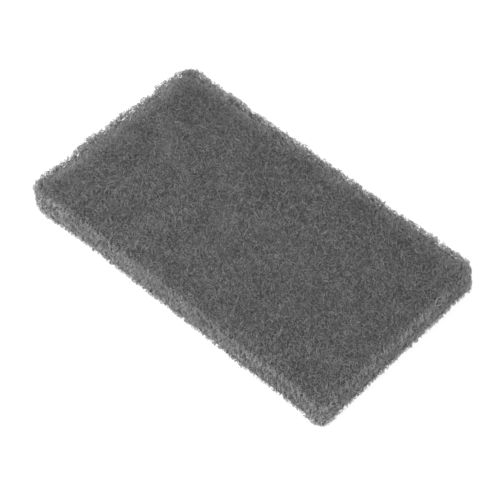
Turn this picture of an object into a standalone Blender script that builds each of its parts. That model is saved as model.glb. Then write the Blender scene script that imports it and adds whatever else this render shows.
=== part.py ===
"""Non-woven abrasive pad: one slab of lofted, tangled fibre web, cut to a rectangle.

Blender 4.5, metres, +Z up. The pad lies flat on its underside. The origin is at the centre of
the underside, +X runs along the pad's length and +Y across its width.
"""

import math

import bpy
import numpy as np

# Driving dimensions, in metres
PAD_LENGTH = 0.152
PAD_WIDTH = 0.0877
PAD_THICKNESS = 0.0133
CORNER_RADIUS = 0.0046
SHOULDER_RADIUS = 0.0022
WAIST_DEPTH = 0.0004

# How far most of each cut side stands inside the pad's box. Only its proudest tuft reaches the box
LEFT_SETBACK = 0.00105
RIGHT_SETBACK = 0.00015
NEAR_SETBACK = 0.0008
FAR_SETBACK = 0.00035

# Nicks and tufts in each cut side: the middle along the side, the depth and the spread of a bell
# curve. A tuft's depth is negative, and the ragged left end has the most of them.
LEFT_BELLS = (
    (-0.012, -LEFT_SETBACK, 0.0065),
    (-0.026, 0.00085, 0.003),
    (0.005, -0.00035, 0.005),
    (0.0215, 0.0008, 0.0026),
    (0.041, 0.0008, 0.005),
)
RIGHT_BELLS = ((-0.04, -RIGHT_SETBACK, 0.006), (0.031, 0.0003, 0.004))
NEAR_BELLS = (
    (-0.066, -NEAR_SETBACK, 0.009),
    (0.0, 0.0002, 0.009),
    (0.036, -0.00045, 0.0035),
    (0.074, -0.0005, 0.006),
)
FAR_BELLS = (
    (-0.046, -FAR_SETBACK, 0.004),
    (-0.039, 0.0004, 0.0035),
    (-0.014, -0.0003, 0.006),
    (0.035, 0.0005, 0.0045),
)

# Unevenness of the lofted web: how deep the hollows are and how far apart they lie
HOLLOW_DEPTH = 0.00045
HOLLOW_SPACING = 0.0105
SIDE_HOLLOW_DEPTH = 0.00025

# Steps of the surface grid
CORNER_STEPS = 4
LONG_STEPS = 60
SHORT_STEPS = 34
SHOULDER_STEPS = 3
SIDE_STEPS = 3

# The power of the share of the way to the side with which an unevenness of the cut dies away
CUT_FALLOFF = 8

# Charcoal resin on nylon fibre: dark, neutral grey and fully matt
WEB_COLOUR = (0.125, 0.125, 0.127, 1.0)
WEB_ROUGHNESS = 0.95


def clear_scene():
    """Remove the objects that the scene starts with."""
    for old in list(bpy.data.objects):
        bpy.data.objects.remove(old, do_unlink=True)


def web_material():
    """Return the pad's matt charcoal material."""
    material = bpy.data.materials.new("charcoal_fibre_web")
    material.use_nodes = True
    shader = material.node_tree.nodes["Principled BSDF"]
    shader.inputs["Base Color"].default_value = WEB_COLOUR
    shader.inputs["Roughness"].default_value = WEB_ROUGHNESS
    shader.inputs["Metallic"].default_value = 0.0
    material.diffuse_color = WEB_COLOUR
    return material


def axis_stations(middle_steps):
    """Return each station's run and corner share along one axis of the plan.

    run goes from -1 to 1 over the straight middle and stays there in the corner zones. share is
    0 over the middle and goes to -1 or 1 from a corner zone's inner edge to the outline.
    """
    shares = np.linspace(0.0, 1.0, CORNER_STEPS + 1)
    middle = np.linspace(-1.0, 1.0, middle_steps + 1)
    run = np.concatenate([-np.ones(CORNER_STEPS), middle, np.ones(CORNER_STEPS)])
    share = np.concatenate([-shares[:0:-1], np.zeros(middle_steps + 1), shares[1:]])
    return run, share


def plan_points(run_x, share_x, run_y, share_y, inset):
    """Return plan coordinates inside a rounded rectangle that lies inset from the outline.

    A corner zone's square cell is mapped onto a quarter disc by the elliptical square-to-disc
    rule, so that the grid's border follows the round corner.
    """
    reach = CORNER_RADIUS - inset
    x = run_x * (PAD_LENGTH / 2 - CORNER_RADIUS) + reach * share_x * np.sqrt(1 - share_y**2 / 2)
    y = run_y * (PAD_WIDTH / 2 - CORNER_RADIUS) + reach * share_y * np.sqrt(1 - share_x**2 / 2)
    return x, y


def cut_line(along, setback, bells):
    """Return how far a cut side stands inside the box: its setback and its nicks and tufts."""
    total = setback + np.zeros(np.shape(along))
    for centre, depth, spread in bells:
        total = total + depth * np.exp(-(((along - centre) / spread) ** 2))
    return total


def uneven_cut(x, y, dent):
    """Return plan points moved inwards to the cut line of their side, and by a further dent.

    Both fade away inside the pad, as a high power of the share of the way to the side.
    """
    weight_x = np.abs(2 * x / PAD_LENGTH) ** CUT_FALLOFF
    weight_y = np.abs(2 * y / PAD_WIDTH) ** CUT_FALLOFF
    left = cut_line(y, LEFT_SETBACK, LEFT_BELLS) + dent
    right = cut_line(y, RIGHT_SETBACK, RIGHT_BELLS) + dent
    near = cut_line(x, NEAR_SETBACK, NEAR_BELLS) + dent
    far = cut_line(x, FAR_SETBACK, FAR_BELLS) + dent
    move_x = np.where(x > 0, -right, left)
    move_y = np.where(y > 0, -far, near)
    return x + move_x * weight_x, y + move_y * weight_y


def hollows(x, y):
    """Return the web's unevenness, from 0 on a high spot to 1 in a hollow.

    Five plane waves, each turned by the golden angle and a little shorter than the last, add
    up to soft lumps with no visible repeat.
    """
    total = np.zeros(np.shape(x))
    golden_angle = math.pi * (3 - math.sqrt(5))
    for index in range(5):
        spacing = HOLLOW_SPACING * 0.8**index
        angle = index * golden_angle
        across = x * math.cos(angle) + y * math.sin(angle)
        total = total + np.cos(2 * math.pi * across / spacing + 1.7 * index)
    return 0.5 - total / 10


def side_profile():
    """Return the side's section from the underside to the top face, as insets and heights.

    It is a lower shoulder arc, a shallow waist and an upper shoulder arc.
    """
    arc = np.linspace(0.0, math.pi / 2, SHOULDER_STEPS + 1)
    lower_inset = SHOULDER_RADIUS * (1 - np.sin(arc))
    lower_height = SHOULDER_RADIUS * (1 - np.cos(arc))
    rise = np.linspace(0.0, 1.0, SIDE_STEPS + 1)[1:-1]
    waist_inset = WAIST_DEPTH * np.sin(math.pi * rise) ** 2
    waist_height = SHOULDER_RADIUS + rise * (PAD_THICKNESS - 2 * SHOULDER_RADIUS)
    insets = np.concatenate([lower_inset, waist_inset, lower_inset[::-1]])
    heights = np.concatenate([lower_height, waist_height, PAD_THICKNESS - lower_height[::-1]])
    return insets, heights


def border_indices(columns, rows):
    """Return the grid indices of its border, anticlockwise seen from above."""
    bottom = [(column, 0) for column in range(columns - 1)]
    right = [(columns - 1, row) for row in range(rows - 1)]
    top = [(column, rows - 1) for column in range(columns - 1, 0, -1)]
    left = [(0, row) for row in range(rows - 1, 0, -1)]
    return np.array(bottom + right + top + left)


def pad_mesh():
    """Return the pad's vertices and faces.

    The side is a stack of rings, one for each point of the section, which closes below with one
    flat face and above with a grid that shares the last ring.
    """
    run_x, share_x = axis_stations(LONG_STEPS)
    run_y, share_y = axis_stations(SHORT_STEPS)
    columns = len(run_x)
    rows = len(run_y)
    border = border_indices(columns, rows)
    ring_size = len(border)
    insets, heights = side_profile()

    column, row = border[:, 0], border[:, 1]
    rings = []
    for inset, height in zip(insets, heights):
        x, y = plan_points(run_x[column], share_x[column], run_y[row], share_y[row], inset)
        dent = SIDE_HOLLOW_DEPTH * math.sin(math.pi * height / PAD_THICKNESS)
        x, y = uneven_cut(x, y, dent * hollows(x + y, x - y + 2 * height))
        rings.append(np.stack([x, y, np.full(ring_size, height)], axis=1))

    grid_x, grid_y = plan_points(
        run_x[:, None], share_x[:, None], run_y[None, :], share_y[None, :], insets[-1]
    )
    depth = np.minimum(1 - np.abs(share_x)[:, None], 1 - np.abs(share_y)[None, :])
    fall = HOLLOW_DEPTH * hollows(grid_x, grid_y) * depth
    grid_x, grid_y = uneven_cut(grid_x, grid_y, 0.0)
    grid = np.stack([grid_x, grid_y, PAD_THICKNESS - fall], axis=2)

    ring_points = np.concatenate(rings)
    inner = grid[1:-1, 1:-1].reshape(-1, 3)
    vertices = np.concatenate([ring_points, inner])

    index = np.zeros((columns, rows), dtype=int)
    index[column, row] = (len(rings) - 1) * ring_size + np.arange(ring_size)
    index[1:-1, 1:-1] = len(ring_points) + np.arange(len(inner)).reshape(columns - 2, rows - 2)

    here = np.arange(ring_size)
    after = np.roll(here, -1)
    faces = [tuple(here[::-1])]
    for level in range(len(rings) - 1):
        low = level * ring_size
        high = low + ring_size
        faces += list(zip(low + here, low + after, high + after, high + here))
    corners = (index[:-1, :-1], index[1:, :-1], index[1:, 1:], index[:-1, 1:])
    faces += list(zip(*(corner.ravel() for corner in corners)))
    return vertices.tolist(), [tuple(int(i) for i in face) for face in faces]


def build_pad():
    """Make the pad as one closed body."""
    vertices, faces = pad_mesh()
    mesh = bpy.data.meshes.new("abrasive_pad")
    mesh.from_pydata(vertices, [], faces)
    mesh.validate()
    mesh.shade_smooth()
    mesh.materials.append(web_material())
    pad = bpy.data.objects.new("abrasive_pad", mesh)
    bpy.context.scene.collection.objects.link(pad)
    return pad


clear_scene()
build_pad()
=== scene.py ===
"""Dress the non-woven abrasive pad: its dense core web, its curled fibres and its studio.

Everything is in metres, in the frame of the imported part: the pad lies on z = 0 with its length
along X. Every piece is a numpy surface, and every finish is worked out by shader nodes. Points
and places are arrays with x, y and z on the last axis.
"""

from __future__ import annotations

import logging
import math
from dataclasses import dataclass
from enum import Enum
from functools import cached_property
from typing import Callable, Mapping, Sequence, Union

import bpy
import numpy as np
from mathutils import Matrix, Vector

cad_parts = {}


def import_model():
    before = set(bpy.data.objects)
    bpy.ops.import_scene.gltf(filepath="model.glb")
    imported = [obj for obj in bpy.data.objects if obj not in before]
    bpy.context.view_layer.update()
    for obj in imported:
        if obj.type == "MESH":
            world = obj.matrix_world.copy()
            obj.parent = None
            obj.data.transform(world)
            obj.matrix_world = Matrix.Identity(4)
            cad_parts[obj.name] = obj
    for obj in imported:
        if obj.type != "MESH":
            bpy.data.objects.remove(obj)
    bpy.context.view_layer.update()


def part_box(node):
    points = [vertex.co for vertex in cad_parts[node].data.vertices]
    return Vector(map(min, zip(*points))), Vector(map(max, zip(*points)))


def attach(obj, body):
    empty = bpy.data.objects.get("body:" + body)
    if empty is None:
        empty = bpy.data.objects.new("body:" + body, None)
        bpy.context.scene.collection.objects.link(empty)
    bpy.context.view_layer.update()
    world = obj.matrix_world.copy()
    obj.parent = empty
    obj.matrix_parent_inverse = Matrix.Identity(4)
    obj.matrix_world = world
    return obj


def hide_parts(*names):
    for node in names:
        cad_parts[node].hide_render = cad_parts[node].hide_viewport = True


Array = np.ndarray
MM = 0.001
BODY = "root"
PAD_NODE = "abrasive_pad"

# The fibres' bake UV map, and the number attributes that the materials read
BAKE_MAP = "OFBake"
TONE = "tone"
# A cut side's paler tone: partly its cut ends' own tone, partly painted light on the sides and along
# the top's edges
RIM = "rim"
# Painted light: how much light seems to come through the web's airy rim, painted into the colour
THROUGH_LIGHT = "airy"

# The direction in which the web is drawn out, as an angle from X, and by how much
GRAIN_ANGLE = math.radians(133)
GRAIN_STRETCH = 1.15

# The spacings of the waves that make a cut side's fibres spring out unevenly
TUFT_SPACINGS = np.array([2.4, 3.5, 5.3, 8.1]) * MM

# The middle of a lightness that runs from 0 to 1, and the least length that is divided by
MIDDLE = 0.5
TINY = 1e-12

log = logging.getLogger("pad")


class Value:
    """A shader value. Python's operators on it add Math nodes."""

    def __init__(self, graph: Graph, socket: bpy.types.NodeSocket) -> None:
        """Wrap one output socket of the graph's tree."""
        self.graph = graph
        self.socket = socket

    def maths(self, operation: str, *others: Number) -> Value:
        """Return operation applied to this value and the others, in order."""
        return self.graph.maths(operation, self, *others)

    def __add__(self, other: Number) -> Value:
        """Return self + other."""
        return self.maths("ADD", other)

    def __sub__(self, other: Number) -> Value:
        """Return self - other."""
        return self.maths("SUBTRACT", other)

    def __rsub__(self, other: Number) -> Value:
        """Return other - self."""
        return self.graph.maths("SUBTRACT", other, self)

    def __mul__(self, other: Number) -> Value:
        """Return self * other."""
        return self.maths("MULTIPLY", other)

    def __truediv__(self, other: Number) -> Value:
        """Return self / other."""
        return self.maths("DIVIDE", other)

    __radd__ = __add__
    __rmul__ = __mul__

    def __abs__(self) -> Value:
        """Return the absolute value."""
        return self.maths("ABSOLUTE")

    def clamped(self) -> Value:
        """Return the value held between 0 and 1."""
        return self.graph.node("ShaderNodeClamp", inputs={"Value": self})

    def smooth_step(self, low: float, high: float) -> Value:
        """Return 0 below low, 1 above high and a smooth rise between them."""
        return self.graph.node(
            "ShaderNodeMapRange",
            settings={"interpolation_type": "SMOOTHSTEP"},
            inputs={"Value": self, "From Min": low, "From Max": high},
        )


Number = Union[Value, float]
Input = Union[Value, float, Sequence[float]]


class Graph:
    """One material's or world's node tree, with short ways to add nodes to it."""

    def __init__(self, tree: bpy.types.NodeTree) -> None:
        """Empty the tree and keep it."""
        tree.nodes.clear()
        self.tree = tree

    def node(
        self,
        kind: str,
        settings: Mapping[str, object] | None = None,
        inputs: Mapping[str | int, Input] | None = None,
        output: str | int = 0,
    ) -> Value:
        """Add a node.

        Args:
            kind: The node's type name.
            settings: Properties of the node, set before its sockets.
            inputs: A value or a link for each socket, by the socket's name or index.
            output: The output socket to return, by name or index.

        Returns:
            The chosen output socket as a Value.
        """
        made = self.tree.nodes.new(kind)
        for name, setting in (settings or {}).items():
            setattr(made, name, setting)
        for name, entry in (inputs or {}).items():
            if isinstance(entry, Value):
                self.tree.links.new(entry.socket, made.inputs[name])
            else:
                made.inputs[name].default_value = entry
        chosen = made.outputs[output] if made.outputs else None
        return Value(self, chosen)

    def maths(self, operation: str, *terms: Number) -> Value:
        """Return the result of one Math node on the terms, in order."""
        return self.node(
            "ShaderNodeMath",
            settings={"operation": operation},
            inputs=dict(enumerate(terms)),
        )

    def blend(self, share: Number, first: Input, second: Input) -> Value:
        """Return a mix of two colours, all first at share 0 and all second at share 1."""
        return self.node(
            "ShaderNodeMix",
            settings={"data_type": "RGBA"},
            inputs={0: share, 6: first, 7: second},
            output=2,
        )

    def place(self) -> Value:
        """Return the object coordinates, in metres."""
        return self.node("ShaderNodeTexCoord", output="Object")

    def grained(self, place: Value) -> Value:
        """Return coordinates along and across the grain, so that textures stretch along it."""
        return self.node(
            "ShaderNodeMapping",
            settings={"vector_type": "TEXTURE"},
            inputs={
                "Vector": place,
                "Rotation": (0.0, 0.0, GRAIN_ANGLE),
                "Scale": (GRAIN_STRETCH, 1 / GRAIN_STRETCH, 1.0),
            },
        )

    def attribute(self, name: str) -> Value:
        """Return a piece's own number attribute."""
        settings = {"attribute_name": name}
        return self.node("ShaderNodeAttribute", settings=settings, output="Fac")

    def bump(self, height: Value, strength: float, distance: float) -> Value:
        """Return the normal that a height in shares of distance gives."""
        inputs = {"Height": height, "Strength": strength, "Distance": distance}
        return self.node("ShaderNodeBump", inputs=inputs)


def grey(level: float) -> tuple[float, float, float, float]:
    """Return a neutral colour."""
    return (level, level, level, 1.0)


@dataclass(frozen=True)
class Noise:
    """Four-dimensional noise, whose fourth place serves as its seed."""

    scale: float
    detail: float
    seed: float

    def over(self, graph: Graph, vector: Value) -> Value:
        """Return the noise over the coordinates, as a swing to both sides of 0."""
        inputs = {"Vector": vector, "W": self.seed, "Scale": self.scale, "Detail": self.detail}
        return graph.node("ShaderNodeTexNoise", {"noise_dimensions": "4D"}, inputs) - MIDDLE


@dataclass(frozen=True)
class WebTone:
    """How dark the web is: albedo range, soft clouds, and layered cut sides, paler partly by painted
    light.

    Clouds and patches change the lightness by their shares of the range. A cut side gains by
    rim_gain, partly as its own paler tone and partly as painted light, unevenly by its patches and
    specks; the specks are stronger below low_height, as painted shade and light between the fibre
    ends near the underside. Where light comes through, painted_through_light_share adds painted
    light to that gain and through_light_softness evens the tone. A seam is a bell curve of the
    height, which wanders with the clouds.
    """

    dark: float
    light: float
    clouds: Noise = Noise(95.0, detail=3.0, seed=1.0)
    cloud_share: float = 0.6
    patches: Noise = Noise(420.0, detail=2.0, seed=5.0)
    patch_share: float = 0.7
    specks: Noise = Noise(2500.0, detail=1.0, seed=9.0)
    speck_edge: float = 0.12
    speck_share: float = 0.5
    # Painted shade and light: stronger speck contrast near the underside, for the shaded gaps
    # between fibre ends
    low_shade_speck_share: float = 1.1
    low_height: float = 6.0 * MM
    rim_gain: float = 0.7
    rim_unevenness: float = 0.3
    # Painted light where light seems to come through the airy rim, and how much it evens the tone
    painted_through_light_share: float = 1.1
    through_light_softness: float = 0.1
    seam_height: float = 9.6 * MM
    seam_width: float = 1.5 * MM
    seam_wander: float = 5.5 * MM
    seam_share: float = 0.3

    def colour(self, graph: Graph, place: Value, level: Value) -> Value:
        """Return the web's grey.

        Args:
            graph: The material's node tree.
            place: The object coordinates.
            level: The local lightness, 0 to 1 over the albedo range before the clouds.

        Returns:
            The colour: paler on the cut sides, partly by painted light, with painted light on the
                airy rims and a darker seam that wanders above half height.
        """
        cloud = self.clouds.over(graph, place)
        patch = self.patches.over(graph, place)
        # Painted light where light seems to come through the airy rim, which also evens the tone
        # there
        airy = graph.attribute(THROUGH_LIGHT)
        level = level + cloud * self.cloud_share + patch * self.patch_share
        level = level + (MIDDLE - level) * (airy * self.through_light_softness)
        shade = self.dark + level.clamped() * (self.light - self.dark)

        height = graph.node("ShaderNodeSeparateXYZ", inputs={"Vector": place}, output="Z")
        # Painted shade between the fibre ends: the specks grow stronger towards the underside
        low = (1.0 - height / self.low_height).clamped()
        specks = self.specks.over(graph, place).smooth_step(-self.speck_edge, self.speck_edge)
        speck_share = self.speck_share + low * self.low_shade_speck_share
        unevenness = patch * self.rim_unevenness + (specks - MIDDLE) * speck_share
        # The paler cut, partly painted light, plus the painted light that seems to come through the
        # rim
        rim = graph.attribute(RIM) * (1.0 + unevenness) + airy * self.painted_through_light_share

        from_seam = (height - self.seam_height + cloud * self.seam_wander) / self.seam_width
        bell = (from_seam * from_seam * -1.0).maths("EXPONENT")
        seam = bell * rim.clamped() * self.seam_share
        shade = shade * (1.0 + rim * self.rim_gain) * (1.0 - seam)
        return graph.blend(shade, grey(0.0), grey(1.0))


@dataclass(frozen=True)
class FibreFinish:
    """Matt resin-coated nylon, one tone to each fibre, with grit specks along it.

    Its relief changes the roughness by its share roughness_swing, and bumps the surface.
    """

    name: str = "fibre"
    tone: WebTone = WebTone(dark=0.070, light=0.230)
    grit: Noise = Noise(1700.0, detail=2.0, seed=3.0)
    grit_share: float = 1.05
    roughness: float = 0.75
    roughness_swing: float = 0.3
    specular: float = 0.3
    bump_strength: float = 0.6
    bump_depth: float = 0.05 * MM

    def relief(self, graph: Graph, place: Value, grit: Value) -> tuple[Value, Value]:
        """Return the lightness before the grit, which is each fibre's own, and the grit's height."""
        return graph.attribute(TONE), grit

    def material(self) -> bpy.types.Material:
        """Make the finish.

        Returns:
            A new material, with the relief in its colour, roughness and bump.
        """
        material = bpy.data.materials.new(self.name)
        material.use_nodes = True
        graph = Graph(material.node_tree)
        place = graph.place()
        grained = graph.grained(place)
        grit = self.grit.over(graph, grained)
        level, height = self.relief(graph, grained, grit)
        inputs = {
            "Base Color": self.tone.colour(graph, place, level + grit * self.grit_share),
            "Roughness": self.roughness + height * self.roughness_swing,
            "Specular IOR Level": self.specular,
            "Normal": graph.bump(height, self.bump_strength, self.bump_depth),
        }
        shader = graph.node("ShaderNodeBsdfPrincipled", inputs=inputs)
        graph.node("ShaderNodeOutputMaterial", inputs={"Surface": shader})
        return material


@dataclass(frozen=True)
class CoreFinish(FibreFinish):
    """The dense web under the loose fibres: crossing curled strands over pores painted dark as
    shade.
    """

    name: str = "core_web"
    # Painted shade: the core is darker than the loose fibres, for the shade deep in the web; its
    # larger rim and through-light gains paint light on its sides and far shoulders, where it lies in
    # shade
    tone: WebTone = WebTone(dark=0.032, light=0.176, rim_gain=0.9, painted_through_light_share=2.2)
    grit: Noise = Noise(2700.0, detail=1.0, seed=3.0)
    grit_share: float = 1.0
    roughness: float = 0.9
    roughness_swing: float = -0.15
    specular: float = 0.2
    bump_strength: float = 0.9
    bump_depth: float = 0.25 * MM
    curls: tuple[Noise, ...] = (
        Noise(800.0, detail=0.6, seed=10.0),
        Noise(1100.0, detail=0.6, seed=17.0),
        Noise(1450.0, detail=0.6, seed=24.0),
        Noise(1900.0, detail=0.6, seed=31.0),
    )
    line_width: float = 0.04
    layer_drop: float = 0.12
    # Painted shade: the pores between the strands are darker by this share of the range
    pore_shade_share: float = 0.9

    def strands(self, graph: Graph, place: Value) -> Value:
        """Return how high the web stands.

        Each layer draws the level line of a noise field, which is a closed curl, as a ridge that
        falls off with the distance from the line. Later layers are lower, and the highest wins.

        Args:
            graph: The material's node tree.
            place: Coordinates along and across the grain.

        Returns:
            The height, from 0 in a pore to 1 on a strand.
        """
        ridges = []
        for index, curl in enumerate(self.curls):
            ridge = (1.0 - abs(curl.over(graph, place)) / self.line_width).clamped()
            ridges.append(ridge * (1.0 - self.layer_drop * index))
        height = ridges[0]
        for ridge in ridges[1:]:
            height = height.maths("MAXIMUM", ridge)
        return height

    def relief(self, graph: Graph, place: Value, grit: Value) -> tuple[Value, Value]:
        """Return the lightness before the grit and the height, which are both the strands'; the
        pores get painted shade.
        """
        height = self.strands(graph, place)
        return height * self.pore_shade_share, height


@dataclass(frozen=True)
class Bell:
    """A nick in a cut side or, with a negative depth, a tuft that stands out of it."""

    middle: float
    depth: float
    spread: float

    def inward(self, along: Array) -> Array:
        """Return the bell curve's depth at each place along the side."""
        return self.depth * np.exp(-(((along - self.middle) / self.spread) ** 2))


def bells(*rows: tuple[float, float, float]) -> tuple[Bell, ...]:
    """Return bells whose middles, depths and spreads are given in millimetres."""
    return tuple(Bell(*(number * MM for number in row)) for row in rows)


@dataclass(frozen=True)
class Corner:
    """A round corner, with its radius at the underside and at the top."""

    lower: float
    upper: float


@dataclass(frozen=True)
class CutSide:
    """One cut side.

    setback is how far most of it stands inside the pad's box, and bells are its nicks and tufts.
    loose is how far its fibres have sprung out, and ragged how much that varies along the side.
    airy is how much light comes through its rim: it thins the fibres there, sets the core back and
    paints light into the colour. pale is how much paler than the top its cut looks, at the underside
    and at the top: partly the cut ends' own paler tone, and partly painted light, which lifts the
    sides and their lower parts where the lamps leave them darker.
    """

    setback: float
    bells: tuple[Bell, ...]
    loose: float
    ragged: float
    airy: float
    # How much paler the cut is low and high: partly its own tone, partly painted light
    pale_and_lit: tuple[float, float] = (1.0, 1.0)

    def inward(self, along: Array) -> Array:
        """Return how far the side stands inside the box at each place along it."""
        return self.setback + sum(bell.inward(along) for bell in self.bells)

    def sprung(self, along: Array) -> Array:
        """Return how far the fibres have sprung out, by waves that each have their own phase."""
        waves = np.cos(2 * math.pi * (along[..., None] / TUFT_SPACINGS) + TUFT_SPACINGS / MM)
        return self.loose + self.ragged * waves.sum(axis=-1) / 2

    def paleness_and_light(self, rise: Array) -> Array:
        """Return how much paler the cut is at each share of the way up, partly as painted light."""
        low, high = self.pale_and_lit
        return low + (high - low) * rise


@dataclass(frozen=True)
class PadForm:
    """The pad's outer form: a slab with round corners and shoulders and unevenly cut sides.

    A corner's radius changes with a power of the height. The cut's unevenness fades inside the
    pad by another power, cut_falloff. The loft's hollows are summed waves, each shorter than the
    last by hollow_ratio. A cut side's paleness, partly painted light, fades inside the pad over
    rim_fade, which paints a highlight along the top's edges. Its airiness is strongest airy_depth
    behind it and fades over airy_width times itself, and towards the underside. lower_fray is how
    frayed the skin is at the underside, as a share of the top's.
    """

    length: float
    width: float
    thickness: float
    left_corner: Corner = Corner(6.6 * MM, 5.8 * MM)
    near_corner: Corner = Corner(4.4 * MM, 4.8 * MM)
    right_corner: Corner = Corner(1.0 * MM, 8.6 * MM)
    far_corner: Corner = Corner(6.4 * MM, 7.2 * MM)
    shoulder_radius: float = 2.2 * MM
    left: CutSide = CutSide(
        setback=1.05 * MM,
        bells=bells(
            (-12.0, -1.05, 6.5),
            (-29.0, -0.6, 2.4),
            (-26.0, 0.85, 3.0),
            (-20.5, 0.75, 2.0),
            (5.0, -0.35, 5.0),
            (13.0, 0.9, 1.4),
            (22.0, 1.2, 2.3),
            (41.0, 0.8, 5.0),
        ),
        loose=1.3 * MM,
        ragged=0.42 * MM,
        airy=0.7,
    )
    right: CutSide = CutSide(
        setback=0.15 * MM,
        bells=bells((-40.0, -0.15, 6.0), (-2.0, 0.35, 1.8), (30.5, 0.6, 3.4), (43.8, -0.6, 1.3)),
        loose=0.64 * MM,
        ragged=0.06 * MM,
        airy=0.25,
        # Painted light: the lower part of this side is painted paler where the lamps leave it darker
        pale_and_lit=(1.85, 1.0),
    )
    near: CutSide = CutSide(
        setback=0.8 * MM,
        bells=bells(
            (-66.0, -1.1, 9.0),
            (-53.0, -0.35, 3.0),
            (0.0, 0.2, 9.0),
            (36.0, -0.45, 3.5),
            (73.0, -0.8, 7.0),
        ),
        loose=0.84 * MM,
        ragged=0.08 * MM,
        airy=0.06,
        pale_and_lit=(1.15, 1.18),
    )
    far: CutSide = CutSide(
        setback=0.35 * MM,
        bells=bells(
            (-70.0, -0.6, 2.4),
            (-61.0, -0.4, 2.4),
            (-46.0, -0.6, 4.0),
            (-39.0, 0.4, 3.5),
            (-19.0, 0.8, 1.6),
            (-14.0, -0.5, 6.0),
            (36.0, 0.75, 4.5),
            (54.0, -0.6, 4.0),
            (67.0, -0.3, 3.0),
        ),
        loose=0.83 * MM,
        ragged=0.22 * MM,
        airy=0.6,
        pale_and_lit=(1.0, 1.2),
    )
    lean_power: float = 0.27
    cut_falloff: int = 8
    hollow_depth: float = 0.45 * MM
    hollow_spacing: float = 10.5 * MM
    hollow_ratio: float = 0.8
    hollow_phase: float = 1.7
    hollow_waves: int = 5
    rim_fade: float = 1.8 * MM
    airy_depth: float = 0.6 * MM
    airy_width: float = 7.0 * MM
    airy_rise: float = 1.6
    lower_fray: float = 0.4

    @classmethod
    def of_node(cls, node: str) -> PadForm:
        """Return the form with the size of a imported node.

        Args:
            node: The node's name.

        Returns:
            The form, as long, wide and thick as the node's box.
        """
        low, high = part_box(node)
        size = high - low
        return cls(length=size.x, width=size.y, thickness=size.z)

    def half(self) -> Array:
        """Return half the pad's length, width and thickness."""
        return np.array([self.length, self.width, self.thickness]) / 2

    def rise(self, points: Array) -> Array:
        """Return each point's share of the way up from the underside to the top."""
        return np.clip(points[..., 2] / self.thickness, 0, 1)

    def corner_radius(self, points: Array) -> Array:
        """Return the radius of the corner that is nearest to each point, at the point's height.

        Args:
            points: The places.

        Returns:
            The radii, which go from the lower to the upper one with a power of the height.
        """
        corners = (self.left_corner, self.near_corner, self.far_corner, self.right_corner)
        quarter = (points[..., 0] > 0) + 2 * (points[..., 1] > 0)
        lower = np.array([corner.lower for corner in corners])[quarter]
        upper = np.array([corner.upper for corner in corners])[quarter]
        return lower + (upper - lower) * self.rise(points) ** self.lean_power

    def plan(self, points: Array) -> tuple[Array, Array]:
        """Return each point's distance to the slab's outline in plan, and the way to it.

        The outline is a rectangle shrunk by the corner radius and grown again.

        Args:
            points: The places.

        Returns:
            The distances, positive outside, and the unit ways, as if x and y were positive.
        """
        radius = self.corner_radius(points)
        beyond = np.abs(points[..., :2]) - self.half()[:2] + radius[..., None]
        return rounded_distance(beyond, radius)

    def skin(self, points: Array) -> tuple[Array, Array]:
        """Return each point's distance to the slab's skin and the skin's normal there.

        The section is rounded as the plan is, with the plan distance and the height as its two
        axes and the shoulder radius as its rounding. A point beyond both shrunk sides measures to
        their corner, and any other point to the nearer side.

        Args:
            points: The places.

        Returns:
            The distances, positive outside, and the unit normals.
        """
        half = self.half()
        side = np.where(points >= [0, 0, half[2]], 1.0, -1.0)
        plan, plan_way = self.plan(points)
        height = np.abs(points[..., 2] - half[2]) - half[2] + self.shoulder_radius
        section = np.stack([plan + self.shoulder_radius, height], axis=-1)
        distance, way = rounded_distance(section, self.shoulder_radius)
        normal = np.concatenate([way[..., :1] * plan_way, way[..., 1:]], axis=-1)
        return distance, normal * side

    def facing(self, points: Array, measure: Callable[[CutSide, Array], Array | float]) -> Array:
        """Return a measure of the two cut sides that each point is nearest to.

        Args:
            points: The places.
            measure: Works out a number from a side and the places along it.

        Returns:
            The numbers of the side that lies across X and of the one across Y, on the last axis.
        """
        x, y = points[..., 0], points[..., 1]
        x_side = np.where(x > 0, measure(self.right, y), measure(self.left, y))
        y_side = np.where(y > 0, measure(self.far, x), measure(self.near, x))
        return np.stack([x_side, y_side], axis=-1)

    def looseness(self, points: Array, out: Array) -> Array:
        """Return how far the fibres have sprung out at points where the skin faces the way out."""
        return (out[..., :2] ** 2 * self.facing(points, CutSide.sprung)).sum(axis=-1)

    def rim(self, points: Array) -> Array:
        """Return how much each point belongs to a cut side, by the side's paleness, partly painted
        light.

        Args:
            points: The places.

        Returns:
            The numbers, all of the paleness on the side and an exponential fade inside it, which is
            a painted highlight along the top's edges.
        """
        distance, way = self.plan(points)
        rise = self.rise(points)
        pale_and_lit = (way**2 * self.facing(points, lambda side, _: side.paleness_and_light(rise))).sum(axis=-1)
        return pale_and_lit * np.exp(np.minimum(distance, 0) / self.rim_fade)

    def airiness(self, points: Array) -> Array:
        """Return how airy the web is at each point, for sparser fibres and painted light through it.

        Args:
            points: The places.

        Returns:
            The highest of the four sides' bell curves of the depth behind them, each as high and
            as wide as its side is airy. It fades downwards.
        """
        half = self.half()[:2]
        depths = np.concatenate([half + points[..., :2], half - points[..., :2]], axis=-1)
        airy = np.array([self.left.airy, self.near.airy, self.right.airy, self.far.airy])
        curves = airy * np.exp(-(((depths - self.airy_depth) / (self.airy_width * airy)) ** 2))
        return curves.max(axis=-1) * np.minimum(self.rise(points) * self.airy_rise, 1)

    def fray(self, points: Array) -> Array:
        """Return how frayed the skin is at each point: less low down, where it was pressed."""
        return self.lower_fray + (1 - self.lower_fray) * self.rise(points)

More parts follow.
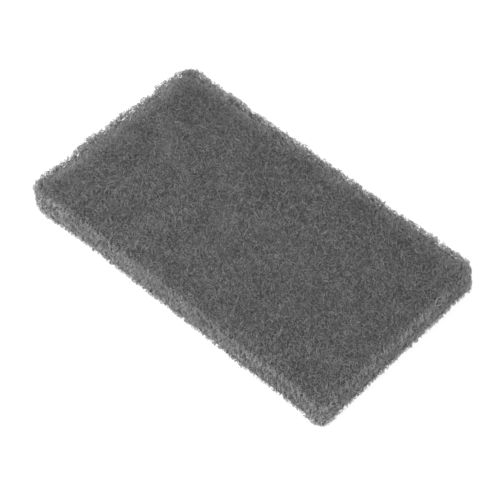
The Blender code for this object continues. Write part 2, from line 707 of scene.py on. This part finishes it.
    def hollows(self, x: Array, y: Array) -> Array:
        """Return the loft's unevenness as summed waves, each turned by the golden angle.

        Args:
            x: Places along the pad.
            y: Places across the pad.

        Returns:
            The depth at each place, from 0 on the highest spot to 1 in the deepest hollow.
        """
        index = np.arange(self.hollow_waves)
        angle = index * math.pi * (3 - math.sqrt(5))
        spacing = self.hollow_spacing * self.hollow_ratio**index
        across = x[..., None] * np.cos(angle) + y[..., None] * np.sin(angle)
        waves = np.cos(2 * math.pi * across / spacing + self.hollow_phase * index)
        return (1 - waves.mean(axis=-1)) / 2

    def shaped(self, points: Array) -> Array:
        """Return points of the ideal slab moved to the real one.

        The sides move inwards to their cut line, which fades inside the pad as a high power of
        the share of the way to the side. The loft's hollows lower the top, and fade to the
        underside.

        Args:
            points: The places.

        Returns:
            The moved places.
        """
        plan = points[..., :2]
        weight = np.minimum(np.abs(plan / self.half()[:2]), 1) ** self.cut_falloff
        inward = np.where(plan > 0, -1.0, 1.0) * self.facing(points, CutSide.inward)
        fall = self.hollow_depth * self.hollows(plan[..., 0], plan[..., 1]) * self.rise(points)
        fall = fall * (1 - weight[..., 0]) * (1 - weight[..., 1])
        height = points[..., 2] - fall
        return np.concatenate([plan + inward * weight, height[..., None]], axis=-1)


def unit(vectors: Array) -> Array:
    """Return vectors with the length 1."""
    return vectors / np.maximum(np.linalg.norm(vectors, axis=-1, keepdims=True), TINY)


def rounded_distance(beyond: Array, radius: float | Array) -> tuple[Array, Array]:
    """Return the distance to a rounded corner of two sides, and the way to it.

    Args:
        beyond: How far a point lies past each of the two shrunk sides, on the last axis.
        radius: The rounding by which the sides are grown again.

    Returns:
        The signed distances and the unit directions, as shares of the two axes.
    """
    outside = np.maximum(beyond, 0)
    reach = np.linalg.norm(outside, axis=-1)
    distance = reach + np.minimum(beyond.max(axis=-1), 0) - radius
    nearer = np.eye(2)[beyond.argmax(axis=-1)]
    return distance, np.where((reach > 0)[..., None], unit(outside), nearer)


def drawn_out(paths: Array) -> Array:
    """Return paths stretched along the web's grain and narrowed across it.

    Args:
        paths: Places, with x, y and z on the last axis.

    Returns:
        The places, moved by a matrix that is 1 and a change along each of the two ways.
    """
    along = np.array([math.cos(GRAIN_ANGLE), math.sin(GRAIN_ANGLE), 0.0])
    across = np.array([-along[1], along[0], 0.0])
    stretch = (GRAIN_STRETCH - 1) * np.outer(along, along)
    narrowing = (1 / GRAIN_STRETCH - 1) * np.outer(across, across)
    return paths @ (np.eye(3) + stretch + narrowing)


def border(columns: int, rows: int) -> tuple[Array, Array]:
    """Return the column and row of a grid's border points, anticlockwise from its first corner."""
    right, top = columns - 1, rows - 1
    return (
        np.r_[0:right, [right] * top, right:0:-1, [0] * top],
        np.r_[[0] * right, 0:top, [top] * right, top:0:-1],
    )


def new_mesh(name: str, points: Array, corners: Array, starts: Array) -> bpy.types.Mesh:
    """Return a mesh.

    Args:
        name: The mesh's name.
        points: Vertex places, one row each.
        corners: Vertex indices of all faces, one after the other.
        starts: Where in corners each face starts.

    Returns:
        The new mesh.
    """
    mesh = bpy.data.meshes.new(name)
    mesh.vertices.add(len(points))
    mesh.vertices.foreach_set("co", points.astype(np.float32).ravel())
    mesh.loops.add(len(corners))
    mesh.polygons.add(len(starts))
    mesh.polygons.foreach_set("loop_start", starts.astype(np.int32))
    mesh.polygons.foreach_set("vertices", corners.astype(np.int32))
    return mesh


def mark(mesh: bpy.types.Mesh, name: str, numbers: Array) -> None:
    """Store one number for each vertex of a mesh."""
    layer = mesh.attributes.new(name, "FLOAT", "POINT")
    layer.data.foreach_set("value", numbers.ravel().astype(np.float32))


def linked(name: str, data: bpy.types.ID) -> bpy.types.Object:
    """Put a mesh, light or camera into the scene.

    Args:
        name: The new object's name.
        data: What it shows.

    Returns:
        The object.
    """
    thing = bpy.data.objects.new(name, data)
    bpy.context.scene.collection.objects.link(thing)
    return thing


def finished(name: str, mesh: bpy.types.Mesh, material: bpy.types.Material) -> bpy.types.Object:
    """Make a smooth, dressed piece that rides on the pad's body.

    Args:
        name: The piece's name.
        mesh: Its mesh.
        material: Its finish.

    Returns:
        The piece.
    """
    mesh.update(calc_edges=True)
    mesh.shade_smooth()
    mesh.materials.append(material)
    piece = linked(name, mesh)
    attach(piece, BODY)
    return piece


@dataclass(frozen=True)
class CoreWeb:
    """The dense body of the pad, set back from the skin so that loose fibres cover it."""

    form: PadForm
    finish: CoreFinish
    name: str = "core_web"
    fill: float = 0.9
    spacing: float = 0.95 * MM
    side_setback: float = 0.9 * MM
    airy_setback: float = 0.8 * MM
    face_setback: float = 0.95 * MM
    under_setback: float = 0.4 * MM
    least_height: float = 0.2 * MM
    upper_shoulder: float = 3.2 * MM
    upper_steps: int = 9
    side_steps: int = 9
    lower_shoulder: float = 1.0 * MM
    lower_steps: int = 4
    lump: float = 0.22 * MM
    lump_spacing: float = 1.9 * MM
    lump_spread: tuple[float, float] = (0.6, 2.2)
    lump_waves: int = 24
    lump_seed: int = 41

    def half(self) -> Array:
        """Return half the core's length and width."""
        return self.form.half()[:2] - self.side_setback

    def stations(self, half: float) -> Array:
        """Return grid stations from -1 to 1 along an axis of the given half length."""
        count = 2 * round(half / self.spacing)
        return np.linspace(-1, 1, count + 1)

    def sheet(self, u: Array, v: Array, height: float) -> Array:
        """Return the plan places of a grid in a rounded rectangle.

        Within a corner radius of both sides the square cell is mapped onto a quarter disc, so
        that the grid's border follows the corner.

        Args:
            u: The grid's shares along the rectangle, from -1 to 1.
            v: Its shares across the rectangle.
            height: How high it lies, which sets the corners' radii.

        Returns:
            The places, with x and y on the last axis.
        """
        half = self.half()
        x, y = np.broadcast_arrays(u[:, None] * half[0], v[None, :] * half[1])
        places = np.stack([x, y, np.full(x.shape, height)], axis=-1)
        radius = self.form.corner_radius(places) - self.side_setback
        s = np.maximum(np.abs(x) - (half[0] - radius), 0) / radius
        t = np.maximum(np.abs(y) - (half[1] - radius), 0) / radius
        x = x - np.sign(x) * radius * s * (1 - np.sqrt(1 - t**2 / 2))
        y = y - np.sign(y) * radius * t * (1 - np.sqrt(1 - s**2 / 2))
        return np.stack([x, y], axis=-1)

    def section(self) -> tuple[Array, Array]:
        """Return the side's section from the underside up.

        Returns:
            The insets and heights of a tight lower shoulder arc, an upright side and a wide
            upper shoulder arc.
        """
        height = self.form.thickness - self.face_setback - self.under_setback
        turn = np.linspace(0, math.pi / 2, self.lower_steps)
        lower = self.lower_shoulder * (1 - np.stack([np.sin(turn), np.cos(turn)]))
        turn = np.linspace(math.pi / 2, 0, self.upper_steps)
        upper = self.upper_shoulder * (1 - np.stack([np.sin(turn), np.cos(turn)]))
        upper[1] = height - upper[1]
        shoulder = height - self.upper_shoulder
        upright = np.linspace(self.lower_shoulder, shoulder, self.side_steps)[1:-1]
        side = np.stack([np.zeros(len(upright)), upright])
        insets, heights = np.concatenate([lower, side, upper], axis=1)
        return insets, heights + self.under_setback

    def places(self, u: Array, v: Array) -> Array:
        """Return the vertices of the ideal core.

        Rings follow the side's section, and a grid that shares its border with the outer ring
        closes the underside and the top each.

        Args:
            u: The grid's shares along the core, from -1 to 1.
            v: Its shares across the core.

        Returns:
            The rings' places from the underside up, then those inside the two grids.
        """
        insets, heights = self.section()
        column, row = border(len(u), len(v))
        parts = []
        for inset, height in zip(insets, heights):
            ring = self.sheet(u, v, height)[column, row]
            out = self.form.plan(np.insert(ring, 2, height, axis=1))[1] * np.sign(ring)
            parts.append(np.insert(ring - inset * out, 2, height, axis=1))
        for level in (0, -1):
            narrowed = (self.half() - insets[level]) / self.half()
            inner = (self.sheet(u, v, heights[level])[1:-1, 1:-1] * narrowed).reshape(-1, 2)
            parts.append(np.insert(inner, 2, heights[level], axis=1))
        return np.concatenate(parts)

    def faces(self, columns: int, rows: int) -> Array:
        """Return the core's faces, in the order of its vertices.

        Args:
            columns: How many points the grids have along the core.
            rows: How many they have across it.

        Returns:
            The four vertex indices of each face, seen from outside anticlockwise.
        """
        levels = len(self.section()[0])
        column, row = border(columns, rows)
        ring_size = len(column)
        here = np.arange(ring_size)
        after = np.roll(here, -1)
        low = np.arange(levels - 1)[:, None] * ring_size
        high = low + ring_size
        sides = np.stack([low + here, low + after, high + after, high + here], axis=2)
        quads = [sides.reshape(-1, 4)]
        inner_size = (columns - 2) * (rows - 2)
        inner = np.arange(inner_size).reshape(columns - 2, rows - 2)
        for top in (False, True):
            index = np.zeros((columns, rows), dtype=int)
            index[column, row] = here + (levels - 1) * ring_size * top
            index[1:-1, 1:-1] = inner + levels * ring_size + inner_size * top
            cells = [index[:-1, :-1], index[1:, :-1], index[1:, 1:], index[:-1, 1:]]
            order = cells if top else cells[::-1]
            quads.append(np.stack([cell.ravel() for cell in order], axis=1))
        return np.concatenate(quads)

    def lumps(self, points: Array) -> Array:
        """Return points moved along the skin's normals by summed waves in random directions.

        Args:
            points: The places.

        Returns:
            The moved places.
        """
        normals = self.form.skin(points)[1]
        chance = np.random.default_rng(self.lump_seed)
        ways = unit(chance.normal(size=(self.lump_waves, 3)))
        lengths = self.lump_spacing * chance.uniform(*self.lump_spread, size=self.lump_waves)
        phases = chance.uniform(0, 2 * math.pi, size=self.lump_waves)
        waves = np.cos(points @ (ways.T * (2 * math.pi / lengths)) + phases)
        height = waves.sum(axis=-1) / math.sqrt(self.lump_waves)
        return points + normals * (self.lump * height)[..., None]

    def drawn_in(self, points: Array) -> Array:
        """Return points with each half of the pad shrunk, so that airy sides stand further back.

        Args:
            points: The places, one to a row.

        Returns:
            The places, with x and y less by a share that grows with the airiness of their side.
        """
        airy = self.form.facing(points, lambda side, _: side.airy)
        shares = airy * self.airy_setback / self.form.half()[:2]
        return np.concatenate([points[:, :2] * (1 - shares), points[:, 2:]], axis=1)

    def build(self) -> bpy.types.Object:
        """Make the core.

        Returns:
            One closed piece, which stands for the CAD pad.
        """
        half = self.half()
        u, v = self.stations(half[0]), self.stations(half[1])
        ideal = self.places(u, v)
        points = self.form.shaped(self.drawn_in(self.lumps(ideal)))
        points[:, 2] = np.maximum(points[:, 2], self.least_height)
        faces = self.faces(len(u), len(v))
        mesh = new_mesh(self.name, points, faces.ravel(), np.arange(len(faces)) * 4)
        mark(mesh, RIM, self.form.rim(ideal))
        mark(mesh, THROUGH_LIGHT, self.form.airiness(ideal))
        piece = finished(self.name, mesh, self.finish.material())
        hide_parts(PAD_NODE)
        return piece


class Region(Enum):
    """The part of the skin that a layer of fibres covers."""

    TOP = "top"
    RIM = "rim"
    SIDES = "sides"
    UNDERSIDE = "underside"


@dataclass(frozen=True)
class FibreLayer:
    """A layer of curled fibres. Each is a crimped path, swept by a three-sided closed tube.

    Pairs are ranges of what is drawn for each fibre: its length and radius, how far its heading
    turns, how often it crimps and lifts, how deep its middle lies under the sprung skin and how
    far its proudest point may reach out of it. thinning and sinking say how many fewer and how
    much deeper fibres lie where the web is airy. Below calm_limit it is calm instead: there
    squeeze makes them narrower along the side, evening narrows the range of their reach and
    calming shortens it.
    """

    name: str
    form: PadForm
    finish: FibreFinish
    region: Region
    count: int
    seed: int
    length: tuple[float, float] = (5.0 * MM, 8.5 * MM)
    radius: tuple[float, float] = (0.08 * MM, 0.14 * MM)
    turning: tuple[float, float] = (2.5, 8.0)
    crimp: float = 0.9
    crimps: tuple[float, float] = (1.0, 2.4)
    lift: float = 0.5 * MM
    lifts: tuple[float, float] = (0.6, 1.8)
    lean: float = 1.2
    depth: tuple[float, float] = (0.0, 1.6 * MM)
    reach: tuple[float, float] = (-0.9 * MM, 0.3 * MM)
    tone_spread: float = 0.1
    rim_share: float = 1.0
    rim_height: float = 4.5 * MM
    thinning: float = 0.3
    sinking: float = 0.5
    calm_limit: float = 0.6
    squeeze: float = 0.0
    evening: float = 0.0
    calming: float = 0.0
    taper: float = 0.45
    taper_power: int = 6
    swell: float = 0.18
    steps: int = 7
    sides: int = 3
    candidates: int = 3
    settling: int = 4

    @cached_property
    def chance(self) -> np.random.Generator:
        """Return the source of the layer's random numbers, which goes on from draw to draw."""
        return np.random.default_rng(self.seed)

    def spread(self, count: int) -> Array:
        """Return random places, spread evenly over the region's skin.

        Args:
            count: How many places there are.

        Returns:
            The places, one to a row.
        """
        half = self.form.half()
        across = self.chance.uniform(-1, 1, size=(count, 2)) * half[:2]
        if self.region in (Region.TOP, Region.UNDERSIDE):
            level = 2 * half[2] if self.region is Region.TOP else 0.0
            return np.insert(across, 2, level, axis=1)
        on_long = self.chance.uniform(size=count) < half[0] / (half[0] + half[1])
        hand = self.chance.choice([-1.0, 1.0], size=count)
        x = np.where(on_long, across[:, 0], hand * half[0])
        y = np.where(on_long, hand * half[1], across[:, 1])
        lowest = 2 * half[2] - self.rim_height if self.region is Region.RIM else 0.0
        height = self.chance.uniform(lowest, 2 * half[2], size=count)
        return np.stack([x, y, height], axis=1)

    def seeds(self) -> Array:
        """Return a place on the skin for each fibre, fewer of them where the rim is airy.

        Returns:
            The places, one to a row: the first candidates that aren't thinned out.
        """
        places = self.spread(self.candidates * self.count)
        kept = self.chance.uniform(size=len(places)) > self.thinning * self.form.airiness(places)
        return places[kept][: self.count]

    def curls(self) -> Array:
        """Return each fibre's path in its own plane.

        The heading turns steadily through a random angle, with a sine crimp on top. Summing the
        headed steps gives the path, which is centred, and a slower sine lifts it off its plane.

        Returns:
            The paths: fibre, step, and the place along the plane's axes and its normal.
        """
        t = np.linspace(0, 1, self.steps)
        size = (self.count, 1)
        hand = self.chance.choice([-1.0, 1.0], size=size)
        turning = hand * self.chance.uniform(*self.turning, size=size)
        start = self.chance.uniform(0, 2 * math.pi, size=size)
        crimps = self.chance.uniform(*self.crimps, size=size)
        phase = self.chance.uniform(0, 2 * math.pi, size=size)
        heading = start + turning * t + self.crimp * np.sin(2 * math.pi * crimps * t + phase)
        length = self.chance.uniform(*self.length, size=size)
        along = np.cumsum(np.cos(heading), axis=1) * length / self.steps
        across = np.cumsum(np.sin(heading), axis=1) * length / self.steps
        lifts = self.chance.uniform(*self.lifts, size=size)
        off = self.lift * np.sin(2 * math.pi * (lifts * t + self.chance.uniform(size=size)))
        path = np.stack([along, across, off], axis=2)
        return path - path.mean(axis=1, keepdims=True)

    def planes(self, normals: Array) -> Array:
        """Return the axes of each fibre's plane, which leans away from the skin at random.

        Args:
            normals: The skin's unit normal at each fibre.

        Returns:
            Three unit axes to a fibre: two in its plane, and the plane's normal.
        """
        upright = unit(normals + self.lean * self.chance.normal(size=normals.shape))
        first = unit(np.cross(upright, self.chance.normal(size=normals.shape)))
        return np.stack([first, np.cross(upright, first), upright], axis=1)

    def held_in(self, places: Array, reach: Array) -> Array:
        """Return the paths moved in until none stands out further than its reach.

        Each step moves a whole path along the skin's normal at its proudest point. So the loops
        stay round and the web thins out softly.

        Args:
            places: The paths' places, one path to a row.
            reach: How far each path may stand out of the sprung skin.

        Returns:
            The moved places.
        """
        fibre = np.arange(self.count)
        for _ in range(self.settling):
            distance, normal = self.form.skin(places)
            beyond = distance - self.form.looseness(places, normal)
            proudest = beyond.argmax(axis=1)
            extra = np.maximum(beyond[fibre, proudest] - reach, 0)
            places = places - (extra[:, None] * normal[fibre, proudest])[:, None, :]
        return places

    def paths(self) -> tuple[Array, Array]:
        """Return the fibres' paths.

        A path starts around a middle at a random depth under its seed, and is held in by its own
        reach. Where the side is calm, its run along the side is squeezed.

        Returns:
            The paths' places, one path to a row, and the normals of their planes.
        """
        seeds = self.seeds()
        off, out = self.form.skin(seeds)
        inward = out.copy()
        if self.region in (Region.SIDES, Region.RIM):
            inward[:, 2] = 0
        axes = self.planes(out)
        airy = self.form.airiness(seeds)
        sinking = 1 + self.sinking * airy
        calm = np.clip(1 - airy / self.calm_limit, 0, 1)
        sunk = off + self.chance.uniform(*self.depth, size=self.count) * sinking
        sunk = sunk - self.form.looseness(seeds, inward)
        middles = seeds - sunk[:, None] * inward
        curls = drawn_out(np.einsum("nki,nij->nkj", self.curls(), axes))
        beside = np.stack([-inward[:, 1], inward[:, 0], np.zeros(self.count)], axis=1)
        beside = beside[:, None, :]
        run = (curls * beside).sum(axis=-1, keepdims=True)
        squeezed = self.squeeze * calm[:, None, None] * run * beside
        reach = self.chance.uniform(*self.reach, size=self.count)
        reach = reach * np.where(reach > 0, self.form.fray(seeds), sinking)
        reach = reach * (1 - self.evening * calm) - self.calming * calm
        places = self.held_in(middles[:, None, :] + curls - squeezed, reach)
        places = self.form.shaped(places)
        places[..., 2] = np.maximum(places[..., 2], self.radius[1])
        return places, axes[:, 2]

    def rings(self, places: Array, upright: Array) -> Array:
        """Return a ring of points square to the path at each of its steps.

        Args:
            places: The paths' places, one path to a row.
            upright: The normals of their planes.

        Returns:
            The points by fibre, step and side. The radius swells at random from step to step and
            tapers by a high power of the share of the way to the ends.
        """
        forward = unit(np.gradient(places, axis=1))
        across = unit(np.cross(forward, upright[:, None, :]))
        square = np.cross(across, forward)
        radius = self.chance.uniform(*self.radius, size=(self.count, 1, 1, 1))
        t = np.linspace(-1, 1, self.steps)[:, None, None]
        taper = 1 - self.taper * t**self.taper_power
        swell = 1 + self.swell * self.chance.uniform(-1, 1, size=(self.count, self.steps, 1, 1))
        angle = (2 * math.pi * np.arange(self.sides) / self.sides)[:, None]
        around = np.cos(angle) * square[:, :, None, :] - np.sin(angle) * across[:, :, None, :]
        points = places[:, :, None, :] + radius * taper * swell * around
        points[..., 2] = np.maximum(points[..., 2], 0.0)
        return points

    def quads(self) -> Sequence[Array]:
        """Return the step and the side of the four corners of each quad of a tube."""
        steps = np.arange(self.steps - 1)[:, None, None] + np.array([0, 0, 1, 1])
        return np.broadcast_arrays(steps, np.arange(self.sides)[:, None] + np.array([0, 1, 1, 0]))

    def tubes(self, points: Array) -> bpy.types.Mesh:
        """Return the mesh of closed tubes through rings of points, with its bake map.

        Quads join the rings of a tube, and a cap closes each end.

        Args:
            points: The rings' points by fibre, step and side.

        Returns:
            The new mesh.
        """
        step, side = self.quads()
        quads = step * self.sides + side % self.sides
        ring = np.arange(self.sides)
        last = (self.steps - 1) * self.sides
        corners = np.concatenate([quads.ravel(), ring[::-1], last + ring])
        quad_starts = np.arange(quads.size // 4) * 4
        starts = np.concatenate([quad_starts, quads.size + np.array([0, self.sides])])
        fibre = np.arange(self.count)[:, None]
        all_corners = (fibre * self.steps * self.sides + corners).ravel()
        all_starts = (fibre * len(corners) + starts).ravel()
        mesh = new_mesh(self.name, points.reshape(-1, 3), all_corners, all_starts)
        layer = mesh.uv_layers.new(name=BAKE_MAP)
        layer.data.foreach_set("uv", self.bake_places().astype(np.float32).ravel())
        return mesh

    def bake_places(self) -> Array:
        """Return where in the bake map the corners of the tubes' faces lie.

        Each fibre has a square cell of the map. Its length runs across the cell and its way round
        runs up it, with a margin all round, and the caps take the cell's two ends.

        Returns:
            The places as shares of the map, in the order of the corners.
        """
        step, side = self.quads()
        cap = np.linspace(0, 0.5, self.sides)
        zigzag = np.arange(self.sides) % 2
        u = np.concatenate([step.ravel(), cap - 0.5, self.steps - 1 + cap])
        v = np.concatenate([side.ravel(), zigzag, zigzag])
        share_u = (u + 1) / (self.steps + 1)
        share_v = (v + 0.5) / (self.sides + 1)
        fibre = np.arange(self.count)[:, None]
        cells = math.ceil(math.sqrt(self.count))
        places = [(fibre % cells + share_u) / cells, (fibre // cells + share_v) / cells]
        return np.stack(places, axis=-1)

    def build(self) -> bpy.types.Object:
        """Make the layer.

        Returns:
            One piece of closed tubes, which keeps its rim, airiness and tone numbers.
        """
        points = self.rings(*self.paths())
        mesh = self.tubes(points)
        mark(mesh, RIM, self.rim_share * self.form.rim(points))
        mark(mesh, THROUGH_LIGHT, self.rim_share * self.form.airiness(points))
        tone = np.clip(self.chance.normal(MIDDLE, self.tone_spread, size=self.count), 0, 1)
        mark(mesh, TONE, np.repeat(tone, self.steps * self.sides))
        return finished(self.name, mesh, self.finish.material())


def aim(thing: bpy.types.Object, azimuth: float, elevation: float, distance: float) -> None:
    """Aim a camera or lamp at the centre of the pad's underside.

    Args:
        thing: The object to place and turn.
        azimuth: How far round it stands from the pad's near side, in radians.
        elevation: How far up it stands, in radians.
        distance: How far away it stands.
    """
    flat = distance * math.cos(elevation)
    thing.location = (
        flat * math.sin(azimuth),
        -flat * math.cos(azimuth),
        distance * math.sin(elevation),
    )
    thing.rotation_euler = (math.pi / 2 - elevation, 0, azimuth)


@dataclass(frozen=True)
class PhotoCamera:
    """The camera that a fit to the pad's outline in the photograph gives."""

    azimuth: float = 43.03
    elevation: float = 52.56
    distance: float = 732.5 * MM
    focal_pixels: float = 1917.0
    centre_pixel: tuple[float, float] = (249.85, 245.45)
    image_pixels: float = 500.0
    sensor: float = 36.0
    nearest: float = 10 * MM

    def build(self) -> bpy.types.Object:
        """Make the camera.

        Returns:
            The camera, whose shift puts the picture's centre on the fitted pixel.
        """
        data = bpy.data.cameras.new("photo_camera")
        data.sensor_width = self.sensor
        data.lens = self.focal_pixels / self.image_pixels * self.sensor
        middle = self.image_pixels / 2
        data.shift_x = (middle - self.centre_pixel[0]) / self.image_pixels
        data.shift_y = (self.centre_pixel[1] - middle) / self.image_pixels
        data.clip_start = self.nearest
        camera = linked("photo_camera", data)
        aim(camera, math.radians(self.azimuth), math.radians(self.elevation), self.distance)
        bpy.context.scene.camera = camera
        return camera


@dataclass(frozen=True)
class Lamp:
    """One soft box, aimed at the pad. Its angles are in degrees."""

    name: str
    azimuth: float
    elevation: float
    power: float
    distance: float = 0.9
    size: float = 1.3

    def build(self) -> bpy.types.Object:
        """Make the lamp.

        Returns:
            The lamp.
        """
        data = bpy.data.lights.new(self.name, "AREA")
        data.shape = "DISK"
        data.size = self.size
        data.energy = self.power
        lamp = linked(self.name, data)
        aim(lamp, math.radians(self.azimuth), math.radians(self.elevation), self.distance)
        return lamp


@dataclass(frozen=True)
class FloorFinish:
    """A matt white that glows for the camera alone, which still sees lit_share of its shadows."""

    name: str = "white_floor"
    albedo: float = 0.8
    lit_share: float = 0.16
    glow: float = 1.08

    def material(self) -> bpy.types.Material:
        """Make the finish.

        Returns:
            A new material.
        """
        material = bpy.data.materials.new(self.name)
        material.use_nodes = True
        graph = Graph(material.node_tree)
        seen = graph.node("ShaderNodeLightPath", output="Is Camera Ray")
        inputs = {"Color": grey(1.0), "Strength": self.glow}
        glow = graph.node("ShaderNodeEmission", inputs=inputs)
        lit = graph.node("ShaderNodeBsdfDiffuse", inputs={"Color": grey(self.albedo)})
        shares = {0: seen * (1 - self.lit_share), 1: lit, 2: glow}
        mixed = graph.node("ShaderNodeMixShader", inputs=shares)
        graph.node("ShaderNodeOutputMaterial", inputs={"Surface": mixed})
        return material


@dataclass(frozen=True)
class Studio:
    """A white floor, an even white surround and soft lamps."""

    floor_size: float = 6.0
    floor_finish: FloorFinish = FloorFinish()
    sky: float = 0.42
    lamps: tuple[Lamp, ...] = (
        Lamp("key_lamp", azimuth=-20, elevation=38, power=3.4, distance=0.45, size=0.5),
        Lamp("front_lamp", azimuth=0, elevation=25, power=3.0),
        Lamp("fill_lamp", azimuth=88, elevation=12, power=9.6),
        Lamp("back_lamp", azimuth=212, elevation=8, power=17.0),
    )

    def floor(self) -> bpy.types.Object:
        """Make the floor.

        Returns:
            The floor, a square under the pad.
        """
        half = self.floor_size / 2
        corners = half * np.array([[-1, -1, 0], [1, -1, 0], [1, 1, 0], [-1, 1, 0]])
        mesh = new_mesh("floor", corners, np.arange(4), np.array([0]))
        mesh.update(calc_edges=True)
        mesh.materials.append(self.floor_finish.material())
        floor = linked("floor", mesh)
        return floor

    def surround(self) -> None:
        """Light the scene evenly from all round, and show white behind it."""
        world = bpy.data.worlds.new("white_surround")
        bpy.context.scene.world = world
        world.use_nodes = True
        graph = Graph(world.node_tree)
        seen = graph.node("ShaderNodeLightPath", output="Is Camera Ray")
        inputs = {"Color": grey(1.0), "Strength": self.sky + seen * (1.0 - self.sky)}
        background = graph.node("ShaderNodeBackground", inputs=inputs)
        graph.node("ShaderNodeOutputWorld", inputs={"Surface": background})

    def build(self) -> bpy.types.Object:
        """Make the floor, the surround and the lamps.

        Returns:
            The floor.
        """
        floor = self.floor()
        self.surround()
        for lamp in self.lamps:
            lamp.build()
        return floor


def fibre_layers(form: PadForm) -> list[FibreLayer]:
    """Return the pad's layers of fibres.

    Args:
        form: The pad's outer form.

    Returns:
        The layers, from the top down.
    """
    finish = FibreFinish()
    # The cut fibres are paler than the top's, partly as painted light, and their airy rims get
    # painted light
    cut_tone = WebTone(
        dark=0.092,
        light=0.23,
        patch_share=0.1,
        rim_gain=0.75,
        painted_through_light_share=0.85,
        specks=Noise(1500.0, detail=1.0, seed=9.0),
    )
    cut_grit = Noise(4300.0, detail=2.0, seed=3.0)
    cut_finish = FibreFinish("cut_fibre", cut_tone, cut_grit, grit_share=2.4)
    top = [
        FibreLayer(f"top_web_{letter}", form, finish, Region.TOP, count=4900, seed=100 + index)
        for index, letter in enumerate("ab")
    ]
    side = [
        FibreLayer(
            f"side_web_{letter}",
            form,
            cut_finish,
            Region.SIDES,
            count=3700,
            seed=200 + index,
            length=(3.5 * MM, 6.0 * MM),
            radius=(0.08 * MM, 0.13 * MM),
            turning=(3.0, 7.0),
            lean=3.0,
            depth=(0.0, 1.9 * MM),
            reach=(-0.45 * MM, 0.1 * MM),
            tone_spread=0.07,
            squeeze=0.45,
            evening=0.6,
        )
        for index, letter in enumerate("ab")
    ]
    loops = FibreLayer(
        "edge_loops",
        form,
        cut_finish,
        Region.RIM,
        count=2500,
        seed=250,
        length=(3.0 * MM, 5.5 * MM),
        radius=(0.1 * MM, 0.17 * MM),
        turning=(5.0, 8.0),
        crimp=0.35,
        lean=3.0,
        depth=(0.0, 4.5 * MM),
        reach=(-0.8 * MM, 0.45 * MM),
        tone_spread=0.08,
        rim_share=0.6,
        calming=0.6 * MM,
        steps=8,
    )
    under = FibreLayer("under_web", form, finish, Region.UNDERSIDE, count=1700, seed=300)
    return [*top, *side, loops, under]


def report(piece: bpy.types.Object) -> None:
    """Log a piece's number of triangles, which is its corners less two for each face."""
    triangles = len(piece.data.loops) - 2 * len(piece.data.polygons)
    log.info("%s: %d triangles", piece.name, triangles)


def main() -> None:
    """Build the camera, the pad's pieces and the studio in order, and report the pieces."""
    logging.basicConfig(level=logging.INFO, format="%(name)s: %(message)s")
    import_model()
    bpy.context.scene.view_settings.view_transform = "Standard"
    PhotoCamera().build()
    form = PadForm.of_node(PAD_NODE)
    for part in (CoreWeb(form, CoreFinish()), *fibre_layers(form), Studio()):
        report(part.build())


if __name__ == "__main__":
    main()
